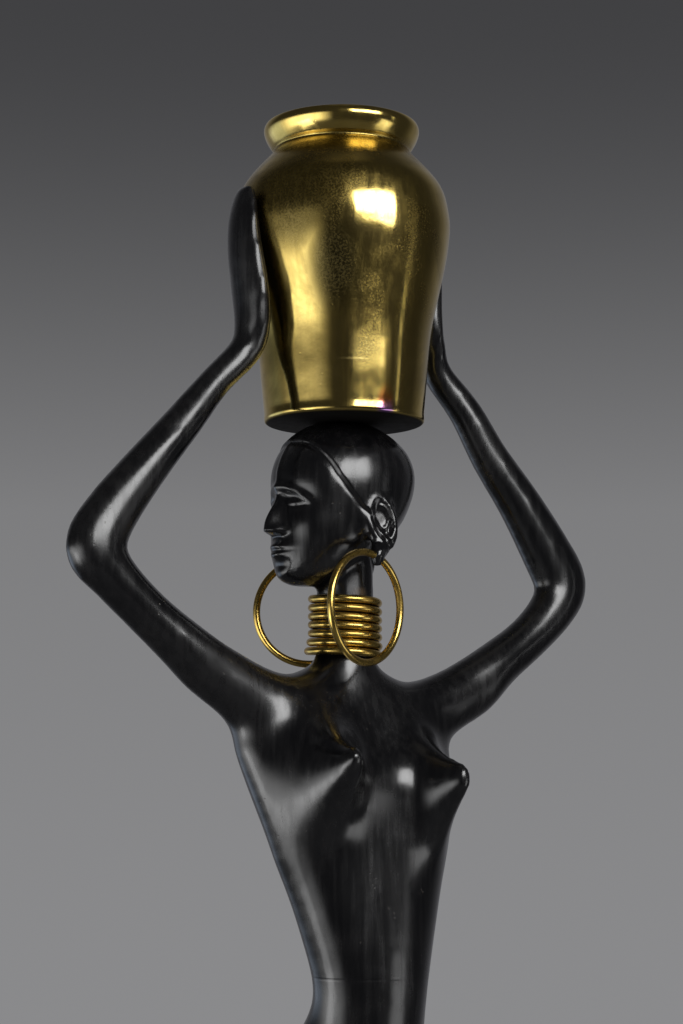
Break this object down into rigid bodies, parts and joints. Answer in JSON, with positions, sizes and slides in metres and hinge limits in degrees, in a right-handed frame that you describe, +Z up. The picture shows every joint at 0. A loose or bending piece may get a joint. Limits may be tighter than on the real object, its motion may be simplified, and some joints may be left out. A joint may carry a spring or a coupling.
{
  "type": "brass female figure",
  "caption": "Slender standing woman in black patinated brass with raised arms who carries a polished brass jar on her head, on a low round plinth.",
  "frame": {"origin": "centre of the plinth's underside", "axes": "+Z up the figure, -Y the way the chest and feet face, -X the way the face looks, to the figure's right"},
  "size_m": [0.2179, 0.144, 0.6561],
  "materials": {
    "black_patina": "satin",
    "polished_brass": "polished",
    "aged_brass": "satin"
  },
  "bodies": {
    "root": {"plinth": "black_patina", "figure": "black_patina", "jar": "polished_brass", "neck_coil": "aged_brass", "right_hoop": "aged_brass", "left_hoop": "aged_brass"}
  },
  "joints": []
}
